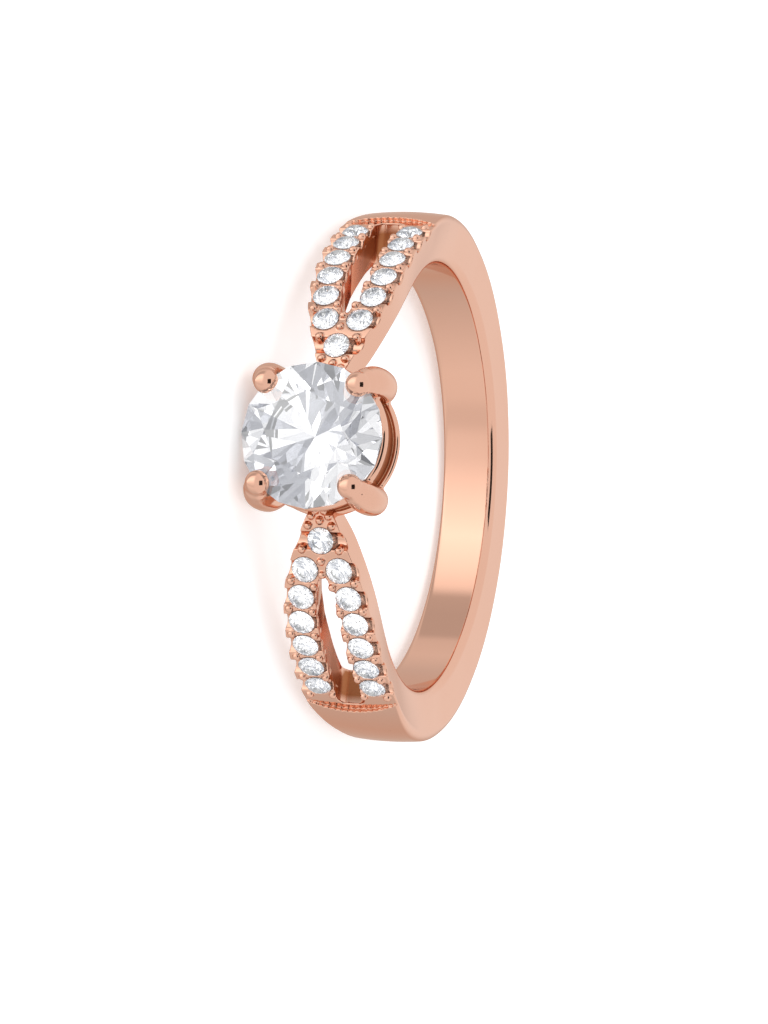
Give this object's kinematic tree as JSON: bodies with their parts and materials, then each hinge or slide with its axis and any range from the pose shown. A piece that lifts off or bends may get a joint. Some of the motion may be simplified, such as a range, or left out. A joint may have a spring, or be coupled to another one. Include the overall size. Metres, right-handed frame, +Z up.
{
  "type": "split shank solitaire ring",
  "caption": "Rose gold solitaire ring with a round stone in a claw basket and split, stone-set shoulders.",
  "frame": {"origin": "centre of the ring's box on the surface that it lies on", "axes": "+Z up, the centre stone faces -Y, the shoulders lie towards -X and +X, and the finger axis leans about 5 degrees from +Z towards +Y"},
  "size_m": [0.0206, 0.0225, 0.0057],
  "materials": {
    "rose_gold": "high polish rose gold",
    "centre_gem": "clear cut stone",
    "accent_gem": "clear cut stones"
  },
  "bodies": {
    "root": {"mounting": "rose_gold", "centre_stone": "centre_gem", "accent_left_tip": "accent_gem", "accent_left_upper_1": "accent_gem", "accent_left_upper_2": "accent_gem", "accent_left_upper_3": "accent_gem", "accent_left_upper_4": "accent_gem", "accent_left_upper_5": "accent_gem", "accent_left_upper_6": "accent_gem", "accent_left_lower_1": "accent_gem", "accent_left_lower_2": "accent_gem", "accent_left_lower_3": "accent_gem", "accent_left_lower_4": "accent_gem", "accent_left_lower_5": "accent_gem", "accent_left_lower_6": "accent_gem", "accent_right_tip": "accent_gem", "accent_right_upper_1": "accent_gem", "accent_right_upper_2": "accent_gem", "accent_right_upper_3": "accent_gem", "accent_right_upper_4": "accent_gem", "accent_right_upper_5": "accent_gem", "accent_right_upper_6": "accent_gem", "accent_right_lower_1": "accent_gem", "accent_right_lower_2": "accent_gem", "accent_right_lower_3": "accent_gem", "accent_right_lower_4": "accent_gem", "accent_right_lower_5": "accent_gem", "accent_right_lower_6": "accent_gem"}
  },
  "joints": []
}
